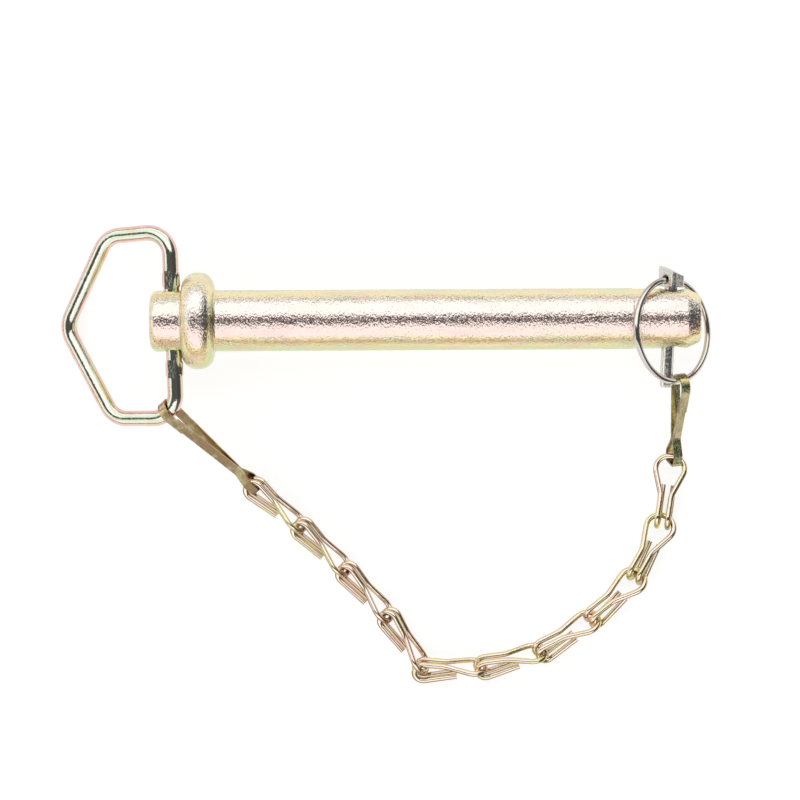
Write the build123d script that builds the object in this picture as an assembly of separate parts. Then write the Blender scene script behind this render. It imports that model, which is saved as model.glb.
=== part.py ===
"""Hitch pin with a swivel handle, a linchpin on a snap ring and a hooked-link tether chain.

Millimetres, +Z up. The shank's axis is the X axis and the origin is the centre of the
collar's bearing face. The pin lies on a flat floor on its collar, seen from above.
"""

import os
from math import acos, atan2, cos, pi, radians, sin, sqrt, tan

from build123d import *

# pin
shank_dia = 19.0
shank_end_x = 150.7
end_chamfer_len = 4.2
end_face_dia = 14.6
end_relief_x = 129.5
end_relief = 0.16
collar_dia = 30.1
collar_width = 10.1
collar_rim_flat = 0.9
collar_foot = 0.95
head_end_x = -19.9
head_round = 2.4
handle_hole_x = -13.0
handle_hole_dia = 5.9
linchpin_hole_from_end = 8.4
linchpin_hole_dia = 7.4
hole_mouth_flare = 0.55
hole_mouth_depth = 1.4
hole_mouth_sunk = 0.3

# handle, one bent wire; along = on the leg that runs through the head, out = away from it
handle_wire_dia = 5.0
handle_half_height = 29.1
handle_shoulder_along = 28.5
handle_shoulder_out = 21.35
handle_point_out = 36.8
handle_point_along = 0.7
handle_bend = 7.5
handle_point_bend = 8.0
handle_slip = -1.1
handle_lean = 1.9
handle_droop = 20.4
handle_end_gap = 1.0
ear_start = 11.0
ear_len = 5.6
ear_width = 5.8
ear_depth = 4.3

# linchpin
linchpin_dia = 4.0
linchpin_lean = 3.3
linchpin_offset = -1.05
linchpin_below_shank = 12.0
linchpin_tip_chamfer = 0.7
block_above_shank = 0.3
block_height = 6.4
block_wide = 7.0
block_thick = 5.4
ring_hole_above_shank = 2.5
ring_hole_dia = 3.0

# snap ring
ring_clear_of_shank = 5.4
ring_wire_dia = 1.9
ring_turn = 41.0
ring_swing_rest = 5.6
ring_end_gap = 0.8

# clips of flat strip
strip_width = 2.8
strip_thick = 0.6
clip_loop = 3.9
clip_waist_half = 0.35
clip_lap = 4.0
eye_len = 8.2
eye_straight = 3.6
eye_height = 5.8
eye_corner = 0.9

# chain links, one bent wire each
link_wire_dia = 1.75
link_hook_radius = 2.8
link_leg_half = 1.65
link_throat = 6.8
link_apex = 19.3
link_apex_corner = 6.26
link_apex_round = 4.0
link_throat_round = 6.0
link_free_len = 10.6
link_hook_closing = 15.0

# how the chain lies on the floor: middle of the hook, middle of the far loop's end, roll
link_lay = [
    ((140.1, -61.5, -11.5), (142.8, -43.1, -11.4), 9),
    ((132.0, -79.3, -11.2), (140.8, -62.0, -11.2), 23),
    ((118.4, -93.2, -11.1), (133.0, -79.7, -10.6), 39),
    ((102.7, -103.6, -11.0), (119.0, -93.3, -10.9), 51),
    ((83.4, -108.9, -10.5), (102.7, -104.1, -10.4), 60),
    ((65.0, -109.8, -11.1), (83.8, -109.1, -9.9), 66),
    ((53.8, -93.6, -10.0), (64.9, -109.8, -10.2), 66),
    ((40.7, -79.0, -10.2), (53.9, -93.6, -10.3), 62),
    ((26.8, -65.3, -10.3), (40.7, -79.0, -10.3), 61),
    ((11.6, -52.12, -10.38), (26.85, -65.26, -10.15), 65.7),
]

# where the clips hang on their wires and where they end, on the chain
right_clip_on_ring = 167.0
left_clip_end = (12.62, -52.25, -10.85)
left_clip_roll = 25.8
left_clip_slack = 0.6
left_clip_lap_at = 6.5
right_clip_end = (143.2, -45.0, -11.3)
right_clip_roll = -21
right_clip_slack = 2.1
right_clip_lap_at = 7.5

shank_r = shank_dia / 2
linchpin_hole_x = shank_end_x - linchpin_hole_from_end
linchpin_tip = shank_r + linchpin_below_shank
block_bottom = shank_r + block_above_shank
block_top = block_bottom + block_height
ring_hole_height = shank_r + ring_hole_above_shank
ring_radius = shank_r + ring_clear_of_shank + ring_wire_dia / 2
collar_height = collar_dia / 2 - shank_r
collar_round = min(collar_width / 2 - collar_rim_flat / 2, collar_height - collar_foot)

up = Vector(0, 0, 1)


def bend(before, corner, after, radius):
    """Start, middle and end of the arc that rounds a corner."""
    back = (before - corner).normalized()
    onward = (after - corner).normalized()
    half = acos(back.dot(onward)) / 2
    middle = corner + (back + onward).normalized() * (radius / sin(half) - radius)
    return corner + back * (radius / tan(half)), middle, corner + onward * (radius / tan(half))


def rounded_path(points, radii):
    """Straight runs joined by tangent arcs at the inner points."""
    points = [Vector(p) for p in points]
    edges = []
    here = points[0]
    for before, corner, after, radius in zip(points, points[1:], points[2:], radii):
        arc_start, arc_mid, arc_end = bend(before, corner, after, radius)
        if (arc_start - here).length > 1e-4:
            edges.append(Line(here, arc_start))
        edges.append(ThreePointArc(arc_start, arc_mid, arc_end))
        here = arc_end
    edges.append(Line(here, points[-1]))
    return Wire(edges)


def bent_wire(plane, points, radii, wire_dia):
    """Round wire along a path given in a plane's own coordinates."""
    path = rounded_path([plane.from_local_coords(Vector(p)) for p in points], radii)
    section = Plane(origin=path @ 0, z_dir=path % 0) * Circle(wire_dia / 2)
    return sweep(section, path=path)


def bent_strip(plane, points, radii):
    """Flat strip along a path in the plane's x and z, its width along the plane's y."""
    path = rounded_path([plane.from_local_coords(Vector(x, 0, z)) for x, z in points], radii)
    start = Plane(origin=path @ 0, x_dir=plane.y_dir, z_dir=path % 0)
    return sweep(start * Rectangle(strip_width, strip_thick), path=path)


def plane_along(start, end, roll):
    """Plane at start with x towards end; roll turns its y up out of the level."""
    ahead = (Vector(end) - Vector(start)).normalized()
    level = up.cross(ahead).normalized()
    side = level * cos(radians(roll)) + ahead.cross(level) * sin(radians(roll))
    return Plane(origin=start, x_dir=ahead, z_dir=ahead.cross(side))


def make_pin_body():
    corners = [
        (head_end_x, 0, 0),
        (head_end_x, shank_dia / 2, 0),
        (-collar_width, shank_dia / 2, 0),
        (-collar_width, collar_dia / 2, 0),
        (0, collar_dia / 2, 0),
        (0, shank_dia / 2, 0),
        (end_relief_x, shank_dia / 2, 0),
        (end_relief_x + 0.5, shank_dia / 2 - end_relief, 0),
        (shank_end_x - end_chamfer_len, shank_dia / 2 - end_relief, 0),
        (shank_end_x, end_face_dia / 2, 0),
        (shank_end_x, 0, 0),
    ]
    bends = [head_round, 0.5, collar_round, collar_round, 0.9, 0.3, 0.3, 2.5, 1.0]
    outline = rounded_path(corners, bends)
    profile = make_face(outline.edges() + Line(corners[-1], corners[0]).edges())
    body = revolve(profile, axis=Axis.X)
    across = Rotation(90, 0, 0)
    for x, dia in ((handle_hole_x, handle_hole_dia), (linchpin_hole_x, linchpin_hole_dia)):
        body -= Pos(x, 0, 0) * across * Cylinder(dia / 2, 2 * shank_dia)
        flare = Cone(dia / 2 - 0.05, dia / 2 + hole_mouth_flare, hole_mouth_depth)
        for turn in (-90, 90):
            body -= Pos(x, 0, 0) * Rotation(turn, 0, 0) * Pos(0, 0, shank_r - hole_mouth_sunk) * flare
    return body


def handle_plane():
    """x along the leg through the head, y out to the handle's point."""
    leg = Vector(sin(radians(-handle_lean)), cos(radians(handle_lean)), 0)
    level_out = Vector(-leg.Y, leg.X, 0)
    out = level_out * cos(radians(handle_droop)) - up * sin(radians(handle_droop))
    middle = Vector(handle_hole_x, 0, 0) + leg * handle_slip
    return Plane(origin=middle, x_dir=leg, z_dir=leg.cross(out))


def handle_points():
    """Corners of the handle's wire, from one end in the head round to the other."""
    end = handle_end_gap / 2
    return [
        (end - handle_slip, 0, 0),
        (handle_half_height, 0, 0),
        (handle_shoulder_along, handle_shoulder_out, 0),
        (handle_point_along, handle_point_out, 0),
        (-handle_shoulder_along, handle_shoulder_out, 0),
        (-handle_half_height, 0, 0),
        (-end - handle_slip, 0, 0),
    ]


def make_handle(plane):
    bends = [handle_bend, handle_bend, handle_point_bend, handle_bend, handle_bend]
    handle = bent_wire(plane, handle_points(), bends, handle_wire_dia)
    for side in (1, -1):
        middle = side * (ear_start + ear_len / 2)
        squashed = Box(ear_len, 2 * ear_width, ear_depth)
        ear = fillet(Box(ear_len, ear_width, 2.6).edges(), 1.2)
        slot = Box(ear_len, 2 * ear_width, 2 * ear_width) - squashed
        handle = handle - plane * Pos(middle, 0, 0) * slot + plane * Pos(middle, 0, 0) * ear
    return handle


def linchpin_plane():
    """z up the linchpin towards its head, x along the ring's hinge hole, away from the collar."""
    lean = radians(linchpin_lean)
    axis = Vector(sin(lean), cos(lean), 0)
    hinge = Vector(cos(radians(ring_turn)), 0, -sin(radians(ring_turn)))
    hinge = (hinge - axis * hinge.dot(axis)).normalized()
    return Plane(origin=(linchpin_hole_x + linchpin_offset, 0, 0), x_dir=hinge, z_dir=axis)


def make_linchpin(plane):
    shaft = Pos(0, 0, (block_bottom + 1 - linchpin_tip) / 2)
    shaft *= Cylinder(linchpin_dia / 2, linchpin_tip + block_bottom + 1)
    shaft = chamfer(shaft.faces().sort_by(Axis.Z)[0].edges(), linchpin_tip_chamfer)
    height = block_top - block_bottom
    block = Pos(0, 0, block_bottom + height / 2) * Box(block_thick, block_wide, height)
    block = fillet(block.edges().filter_by(Axis.Z), 1.0)
    roof = Pos(0, 0, block_top + 2.0) * Rotation(20, 12, 0) * Box(20, 20, 6.0)
    block -= roof
    block = fillet(block.faces().sort_by(Axis.Z)[-1].edges(), 0.6)
    bore = Pos(0, 0, ring_hole_height) * Rotation(0, 90, 0)
    pin = block + shaft - bore * Cylinder(ring_hole_dia / 2, 3 * block_thick)
    return plane * pin


def ring_plane(linchpin):
    """Origin in the hinge hole, x along the hinge, y down the ring to its far side."""
    origin = linchpin.from_local_coords(Vector(0, 0, ring_hole_height))
    swing = radians(ring_swing_rest)
    down = linchpin.z_dir * -cos(swing) + linchpin.x_dir.cross(linchpin.z_dir) * sin(swing)
    return Plane(origin=origin, x_dir=linchpin.x_dir, z_dir=linchpin.x_dir.cross(down))


def ring_point(plane, angle):
    """Point on the ring's wire, at an angle from its hinge."""
    local = Vector(sin(angle), 1 - cos(angle), 0) * ring_radius
    return plane.from_local_coords(local)


def make_ring(plane):
    start = ring_end_gap / 2 / ring_radius
    path = ThreePointArc(*(ring_point(plane, angle) for angle in (start, pi, 2 * pi - start)))
    section = Plane(origin=path @ 0, z_dir=path % 0) * Circle(ring_wire_dia / 2)
    return sweep(section, path=path)


def make_clip(plane, length, lap_at):
    """Hairpin loop round a wire at the origin, pinched waist, square eye ending at length."""
    waist = length - eye_len
    inner_top = clip_loop - strip_thick - 0.05

    def inner(x):
        return clip_waist_half + (waist - x) * (inner_top - clip_waist_half) / waist

    def outer(x):
        return inner(x) + strip_thick + 0.05

    loop = clip_loop
    points = [
        (lap_at, outer(lap_at)),
        (-loop, outer(-loop)),
        (-loop, -outer(-loop)),
        (waist, -clip_waist_half),
        (length - eye_straight, -eye_height / 2),
        (length, -eye_height / 2),
        (length, eye_height / 2),
        (length - eye_straight, eye_height / 2),
        (waist, clip_waist_half),
        (lap_at - clip_lap, inner(lap_at - clip_lap)),
    ]
    bends = [loop - 0.1, loop - 0.1, 2.0, 2.0, eye_corner, eye_corner, 2.0, 2.0]
    return bent_strip(plane, points, bends)


def clip_plane(wire_point, end_point, roll, slack):
    """Clip plane with its origin at the middle of the loop, and the clip's length."""
    plane = plane_along(wire_point, end_point, roll)
    origin = Vector(wire_point) + plane.x_dir * slack
    length = (Vector(end_point) - origin).length
    return Plane(origin=origin, x_dir=plane.x_dir, z_dir=plane.z_dir), length


def link_plane(hook_middle, apex, roll):
    """Plane of a link's legs: x from the hooks to the wide loop's end, y across the legs."""
    reach = (Vector(apex) - Vector(hook_middle)).length
    held_x = link_apex - sqrt(reach**2 - link_hook_radius**2)
    tilt = atan2(link_hook_radius, link_apex - held_x)
    base = plane_along(hook_middle, apex, -roll)
    x_dir = base.x_dir * cos(tilt) - base.z_dir * sin(tilt)
    z_dir = base.x_dir * sin(tilt) + base.z_dir * cos(tilt)
    origin = Vector(hook_middle) - x_dir * held_x + z_dir * link_hook_radius
    return Plane(origin=origin, x_dir=x_dir, z_dir=z_dir)


def make_link(plane):
    closing = radians(link_hook_closing)
    radius = link_hook_radius
    leave_x = radius * sin(closing)
    leave_z = -radius - radius * cos(closing)
    corner_z = leave_z - (radius + leave_x) * tan(closing)
    free_z = leave_z + (link_free_len - leave_x) * tan(closing)
    half = [
        (link_free_len, 1, free_z),
        (-radius, 1, corner_z),
        (-radius, 1, 0),
        (link_throat, 1, 0),
        (link_apex, link_apex_corner / link_leg_half, 0),
    ]
    one = [(x, y * link_leg_half, z) for x, y, z in half]
    other = [(x, -y, z) for x, y, z in reversed(one)]
    bends = [radius, radius, link_throat_round, link_apex_round]
    return bent_wire(plane, one + other, bends + bends[::-1], link_wire_dia)


os.makedirs("parts", exist_ok=True)
on_handle = handle_plane()
on_linchpin = linchpin_plane()
on_ring = ring_plane(on_linchpin)
lower_corner = bend(*(Vector(p) for p in handle_points()[4:]), handle_bend)[1]
left_hold = on_handle.from_local_coords(lower_corner)
right_hold = ring_point(on_ring, radians(right_clip_on_ring))
left_clip_plane, left_clip_len = clip_plane(left_hold, left_clip_end, left_clip_roll, left_clip_slack)
right_clip_plane, right_clip_len = clip_plane(
    right_hold, right_clip_end, right_clip_roll, right_clip_slack
)

shapes = {
    "pin_body": make_pin_body(),
    "handle": make_handle(on_handle),
    "linchpin": make_linchpin(on_linchpin),
    "linchpin_ring": make_ring(on_ring),
    "left_clip": make_clip(left_clip_plane, left_clip_len, left_clip_lap_at),
    "right_clip": make_clip(right_clip_plane, right_clip_len, right_clip_lap_at),
}
for number, lay in enumerate(link_lay, start=1):
    shapes[f"link_{number:02d}"] = make_link(link_plane(*lay))

for name, shape in shapes.items():
    export_step(shape, f"parts/{name}.step")
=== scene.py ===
"""Looks of the hitch pin: yellow-zinc plated metal between two big soft lights, seen from above.

Metres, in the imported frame: the shank lies along +X and the part rests on a floor below.
"""

import math

import bpy
from mathutils import Euler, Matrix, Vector


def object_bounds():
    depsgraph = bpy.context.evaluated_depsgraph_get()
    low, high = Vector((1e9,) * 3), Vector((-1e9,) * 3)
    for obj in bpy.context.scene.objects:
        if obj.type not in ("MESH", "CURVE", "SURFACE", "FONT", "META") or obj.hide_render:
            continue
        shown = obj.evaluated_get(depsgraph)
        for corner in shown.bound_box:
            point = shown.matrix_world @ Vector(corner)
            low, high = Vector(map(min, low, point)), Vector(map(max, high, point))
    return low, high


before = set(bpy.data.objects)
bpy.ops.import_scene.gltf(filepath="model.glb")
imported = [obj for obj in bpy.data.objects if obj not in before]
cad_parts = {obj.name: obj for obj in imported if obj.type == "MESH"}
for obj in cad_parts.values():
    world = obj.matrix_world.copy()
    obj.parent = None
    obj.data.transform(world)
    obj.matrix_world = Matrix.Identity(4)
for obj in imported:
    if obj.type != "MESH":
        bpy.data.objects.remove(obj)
cad_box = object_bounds()

# the photograph's view: straight down, the image's frame 248.4 mm wide at the shank's axis
VIEW_CENTRE = (0.05747, -0.02489)
VIEW_HEIGHT = 1.0
VIEW_WIDTH = 0.2484
VIEW_TURN = math.radians(-0.31)
SENSOR = 36.0

# light: two bright sides, a dim gap between them that runs overhead and down to +X, a dim horizon
LIGHT_BRIGHT = 1.2
LIGHT_DIM = 0.08
LIGHT_END = 0.10
LIGHT_HORIZON = 0.12
GAP_LEAN = 0.025
GAP_EDGE = (0.20, 0.265)
GAP_START = (-0.82, -0.70)
END_EDGE = (0.50, 0.64)
HORIZON_EDGE = (0.09, 0.20)

# turns the noise's grid away from the object's axes, so that it shows no rows
NOISE_TURN = (0.5, 0.7, 0.3)

# pits: wider than long, so that their glints on the round shank come out round, with broad
# dents among them that are so many times wider, and a share of their height
PIT_STRETCH = (1.0, 0.6, 0.6)
DENT_WIDTH = 6
DENT_SHARE = 0.8

# flecks of roughness, against the pits' scale, and the noise's span that they come from
FLECK_PITCH = 0.8
FLECK_EDGE = (0.40, 0.62)

# how far a face must lean to +Y or -Y before it has all of that side's colours, whose difference from the
# other side's is painted light
SIDE_EDGE = (-0.25, 0.25)

# cloudy tints: their scale against the drift's, and the noise's span between the two tints
# and between no tint and all of it
TINT_PITCH = 1.7
TINT_EDGE = (0.4, 0.6)
WHERE_PITCH = 2.6
WHERE_EDGE = (0.42, 0.62)

# floor: part of its light is its own, so that the shadows under the part stay faint
FLOOR_GREY = 0.42
FLOOR_GLOW = 0.74
FLOOR_REACH = 3.0
FLOOR_ROUGHNESS = 0.9


def linear(red, green, blue):
    """A display colour from 0 to 255 as the linear colour that nodes take."""
    shares = [value / 255 for value in (red, green, blue)]
    return tuple(v / 12.92 if v < 0.04 else ((v + 0.055) / 1.055) ** 2.4 for v in shares) + (1.0,)


def grey(value):
    return (value, value, value, 1.0)


PEARL = linear(247, 238, 231)
PINK_PEARL = linear(244, 221, 213)
CREAM = linear(242, 230, 204)
STRAW = linear(240, 224, 180)
GOLD = linear(232, 202, 150)
AMBER = linear(222, 180, 136)
ROSE = linear(232, 190, 182)
LEAF = linear(212, 216, 160)
MINT = linear(200, 224, 190)
OLIVE = linear(150, 142, 92)
BRONZE = linear(140, 118, 86)
TAUPE = linear(146, 128, 106)
LIME = linear(214, 212, 140)
SALMON = linear(228, 176, 158)
# painted shade: the darkest stop, used only on the steepest faces
SHADE_UMBER = linear(120, 92, 70)
SILVER = linear(232, 230, 224)
STEEL = linear(188, 184, 180)


class Nodes:
    """Short way to add and join nodes in one tree."""

    def __init__(self, tree):
        self.tree = tree
        tree.nodes.clear()

    def add(self, kind, inputs=None, **settings):
        node = self.tree.nodes.new(kind)
        for key, value in settings.items():
            setattr(node, key, value)
        for key, value in (inputs or {}).items():
            if isinstance(value, bpy.types.NodeSocket):
                self.tree.links.new(value, node.inputs[key])
            else:
                node.inputs[key].default_value = value
        return node

    def math(self, operation, *values, clamp=False):
        node = self.add("ShaderNodeMath", dict(enumerate(values)), operation=operation, use_clamp=clamp)
        return node.outputs[0]

    def rise(self, value, edge, low=0.0, high=1.0):
        """Smooth step of a value from low to high between the two ends of edge."""
        ends = {"Value": value, "From Min": edge[0], "From Max": edge[1], "To Min": low, "To Max": high}
        return self.add("ShaderNodeMapRange", ends, interpolation_type="SMOOTHSTEP").outputs[0]

    def noise(self, place, scale, stretch=(1, 1, 1), detail=2.0, distortion=0.0):
        turned = {"Vector": place, "Scale": stretch, "Rotation": NOISE_TURN}
        at = self.add("ShaderNodeMapping", turned).outputs[0]
        settings = {"Vector": at, "Scale": scale, "Detail": detail, "Distortion": distortion}
        return self.add("ShaderNodeTexNoise", settings).outputs["Fac"]

    def ramp(self, factor, stops):
        node = self.add("ShaderNodeValToRGB", {"Fac": factor})
        elements = node.color_ramp.elements
        while len(elements) < len(stops):
            elements.new(0.5)
        for element, (place, colour) in zip(elements, stops):
            element.position = place
            element.color = colour
        return node.outputs["Color"]

    def mix(self, factor, first, second):
        node = self.add("ShaderNodeMix", {"Factor": factor}, data_type="RGBA")
        for socket, value in ((node.inputs[6], first), (node.inputs[7], second)):
            if isinstance(value, bpy.types.NodeSocket):
                self.tree.links.new(value, socket)
            else:
                socket.default_value = value
        return node.outputs[2]


def plated_metal(name, left, right, grain, drift, rough, tints, tint_share=0.5):
    """Plated steel: colours by how far a face leans from level, one row of them for each side.

    The rows are partly the plating's own pink, yellow and green tints and partly painted light:
    paler up-facing faces are a painted highlight, darker stops and dark steep faces are painted
    shade, and the +Y and -Y rows differ as the light on the two sides does.

    left and right are colour stops for faces that lean to +Y and to -Y. grain is the pitting's
    scale and depth, drift the wandering of the colours (scale, stretch, share), rough the least
    and most roughness, and tints two more colours that come and go in cloudy patches.
    """
    material = bpy.data.materials.new(name)
    material.use_nodes = True
    nodes = Nodes(material.node_tree)
    coordinates = nodes.add("ShaderNodeTexCoord")
    place = coordinates.outputs["Object"]
    normal = nodes.add("ShaderNodeSeparateXYZ", {0: coordinates.outputs["Normal"]})
    upright = nodes.math("MULTIPLY", normal.outputs["Z"], normal.outputs["Z"])
    lean = nodes.math("SQRT", nodes.math("SUBTRACT", 1.0, upright, clamp=True))
    scale, stretch, share = drift
    cloud = nodes.noise(place, scale, stretch, detail=3.0, distortion=0.8)
    shift = nodes.math("MULTIPLY", nodes.math("SUBTRACT", cloud, 0.5), share)
    shifted = nodes.math("ADD", lean, shift, clamp=True)
    # painted light: by lean and by side, paler up-facing faces are painted highlight and darker steep
    # faces painted shade, over the plating's own tints
    side = nodes.rise(normal.outputs["Y"], SIDE_EDGE)
    colour = nodes.mix(side, nodes.ramp(shifted, right), nodes.ramp(shifted, left))
    patch = nodes.noise(place, scale * TINT_PITCH, stretch, distortion=1.2)
    tint = nodes.mix(nodes.rise(patch, TINT_EDGE), *tints)
    spread = nodes.noise(place, scale * WHERE_PITCH, stretch)
    where = nodes.math("MULTIPLY", nodes.rise(spread, WHERE_EDGE), lean)
    colour = nodes.mix(nodes.math("MULTIPLY", where, tint_share), colour, tint)

    pitch, depth = grain
    fine = nodes.noise(place, pitch, PIT_STRETCH, detail=1.0)
    broad = nodes.noise(place, pitch / DENT_WIDTH, PIT_STRETCH, detail=1.0)
    height = nodes.math("ADD", fine, nodes.math("MULTIPLY", broad, DENT_SHARE))
    bump = nodes.add("ShaderNodeBump", {"Strength": 1.0, "Distance": depth, "Height": height})
    speck = nodes.noise(place, pitch * FLECK_PITCH, detail=1.0)
    fleck = nodes.rise(speck, FLECK_EDGE, *rough)
    settings = {"Base Color": colour, "Metallic": 1.0, "Roughness": fleck, "Normal": bump.outputs[0]}
    shader = nodes.add("ShaderNodeBsdfPrincipled", settings)
    nodes.add("ShaderNodeOutputMaterial", {"Surface": shader.outputs[0]})
    return material


def dress(node, material):
    """Give a CAD node one material all over."""
    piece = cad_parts[node]
    piece.data.materials.clear()
    piece.data.materials.append(material)


# the stops below are partly the plating's tints and partly painted light: pale stops for up-facing faces
# are painted highlight, dark stops for steep faces painted shade, and each material's +Y and -Y rows
# differ as the light on the two sides does
pin_metal = plated_metal(
    "plated_pin",
    left=[
        (0.0, PINK_PEARL),
        (0.2, PEARL),
        (0.58, PEARL),
        (0.7, CREAM),
        (0.8, STRAW),
        (0.93, STRAW),
        (1.0, LEAF),
    ],
    right=[
        (0.0, PINK_PEARL),
        (0.5, PINK_PEARL),
        (0.62, STRAW),
        # painted reflection of the dim horizon: a darker line on faces leaning about 45 degrees to -Y
        (0.7, GOLD),
        (0.8, STRAW),
        (0.92, LEAF),
        (1.0, LEAF),
    ],
    grain=(2100, 0.00020),
    drift=(100, (0.3, 1, 1), 0.22),
    rough=(0.06, 0.26),
    tints=(MINT, ROSE),
)
wire_metal = plated_metal(
    "handle_wire",
    left=[(0.0, PEARL), (0.3, PEARL), (0.45, MINT), (0.62, PEARL), (0.75, ROSE), (1.0, ROSE)],
    right=[(0.0, PEARL), (0.25, PEARL), (0.42, MINT), (0.6, PINK_PEARL), (0.75, ROSE), (1.0, PINK_PEARL)],
    grain=(1500, 0.00003),
    drift=(60, (1, 1, 1), 0.25),
    rough=(0.05, 0.14),
    tints=(MINT, AMBER),
    tint_share=0.6,
)
silver_metal = plated_metal(
    "bright_linchpin",
    left=[(0.0, SILVER), (0.8, SILVER), (1.0, STEEL)],
    right=[(0.0, SILVER), (0.8, SILVER), (1.0, STEEL)],
    grain=(1500, 0.00003),
    drift=(200, (1, 1, 1), 0.2),
    rough=(0.20, 0.36),
    tints=(MINT, PINK_PEARL),
    tint_share=0.3,
)
ring_metal = plated_metal(
    "ring_wire",
    left=[(0.0, SILVER), (0.5, SILVER), (0.8, STEEL), (1.0, BRONZE)],
    right=[(0.0, SILVER), (0.5, STEEL), (0.8, SILVER), (1.0, ROSE)],
    grain=(1500, 0.00002),
    drift=(90, (1, 1, 1), 0.3),
    rough=(0.05, 0.14),
    tints=(PINK_PEARL, AMBER),
    tint_share=0.4,
)
left_strip_metal = plated_metal(
    "left_strip",
    left=[(0.0, GOLD), (0.3, LEAF), (0.6, GOLD), (0.8, AMBER), (1.0, SHADE_UMBER)],
    right=[(0.0, BRONZE), (0.5, BRONZE), (0.75, TAUPE), (1.0, SHADE_UMBER)],
    grain=(1500, 0.00002),
    drift=(110, (1, 1, 1), 0.4),
    rough=(0.16, 0.34),
    tints=(LEAF, TAUPE),
    tint_share=0.7,
)
right_strip_metal = plated_metal(
    "right_strip",
    left=[(0.0, OLIVE), (0.35, LEAF), (0.6, GOLD), (0.8, BRONZE), (1.0, SHADE_UMBER)],
    right=[(0.0, LEAF), (0.4, LEAF), (0.6, STRAW), (0.8, OLIVE), (1.0, SHADE_UMBER)],
    grain=(1500, 0.00002),
    drift=(90, (1, 1, 1), 0.4),
    rough=(0.16, 0.34),
    tints=(LEAF, BRONZE),
    tint_share=0.6,
)
chain_metal = plated_metal(
    "chain_wire",
    left=[(0.0, CREAM), (0.4, PEARL), (0.65, STRAW), (0.85, ROSE), (1.0, OLIVE)],
    right=[(0.0, CREAM), (0.35, PEARL), (0.6, AMBER), (0.8, BRONZE), (1.0, SHADE_UMBER)],
    grain=(1500, 0.00003),
    drift=(32, (1, 1, 1), 0.25),
    rough=(0.06, 0.16),
    tints=(LIME, SALMON),
    tint_share=0.9,
)

dress("pin_body", pin_metal)
dress("handle", wire_metal)
dress("linchpin", silver_metal)
dress("linchpin_ring", ring_metal)
dress("left_clip", left_strip_metal)
dress("right_clip", right_strip_metal)
for number in range(1, 11):
    dress(f"link_{number:02d}", chain_metal)


def make_floor():
    floor_z = cad_box[0][2]
    mesh = bpy.data.meshes.new("floor")
    signs = ((-1, -1), (1, -1), (1, 1), (-1, 1))
    corners = [(x * FLOOR_REACH, y * FLOOR_REACH, floor_z) for x, y in signs]
    mesh.from_pydata(corners, [], [(0, 1, 2, 3)])
    floor = bpy.data.objects.new("floor", mesh)
    bpy.context.scene.collection.objects.link(floor)
    material = bpy.data.materials.new("floor")
    material.use_nodes = True
    nodes = Nodes(material.node_tree)
    settings = {
        "Base Color": grey(FLOOR_GREY),
        "Roughness": FLOOR_ROUGHNESS,
        "Specular IOR Level": 0.0,
        "Emission Color": grey(1.0),
        "Emission Strength": FLOOR_GLOW,
    }
    shader = nodes.add("ShaderNodeBsdfPrincipled", settings)
    nodes.add("ShaderNodeOutputMaterial", {"Surface": shader.outputs[0]})
    mesh.materials.append(material)


def make_light():
    """Two wide soft lights at +Y and -Y, with the dim gap, the dim +X end and the dim horizon."""
    world = bpy.data.worlds.new("studio")
    bpy.context.scene.world = world
    world.use_nodes = True
    nodes = Nodes(world.node_tree)
    ray = nodes.add("ShaderNodeSeparateXYZ", {0: nodes.add("ShaderNodeTexCoord").outputs["Generated"]})
    x, y, z = (ray.outputs[axis] for axis in "XYZ")
    across = nodes.math("ABSOLUTE", nodes.math("MULTIPLY_ADD", z, GAP_LEAN, y))
    outside = nodes.rise(across, GAP_EDGE, LIGHT_DIM, LIGHT_BRIGHT)
    before = nodes.rise(x, GAP_START, LIGHT_BRIGHT, LIGHT_DIM)
    end = nodes.rise(x, END_EDGE, LIGHT_BRIGHT, LIGHT_END)
    low = nodes.rise(z, HORIZON_EDGE, LIGHT_HORIZON, LIGHT_BRIGHT)
    light = nodes.math("MAXIMUM", outside, before)
    light = nodes.math("MINIMUM", nodes.math("MINIMUM", light, end), low)
    sky = nodes.add("ShaderNodeBackground", {"Color": light, "Strength": 1.0})
    nodes.add("ShaderNodeOutputWorld", {"Surface": sky.outputs[0]})


def make_camera():
    data = bpy.data.cameras.new("camera")
    data.sensor_width = SENSOR
    data.lens = SENSOR * VIEW_HEIGHT / VIEW_WIDTH
    camera = bpy.data.objects.new("camera", data)
    camera.location = Vector((*VIEW_CENTRE, VIEW_HEIGHT))
    camera.rotation_euler = Euler((0, 0, VIEW_TURN))
    bpy.context.scene.collection.objects.link(camera)
    bpy.context.scene.camera = camera


make_floor()
make_light()
make_camera()
bpy.context.scene.view_settings.view_transform = "Standard"
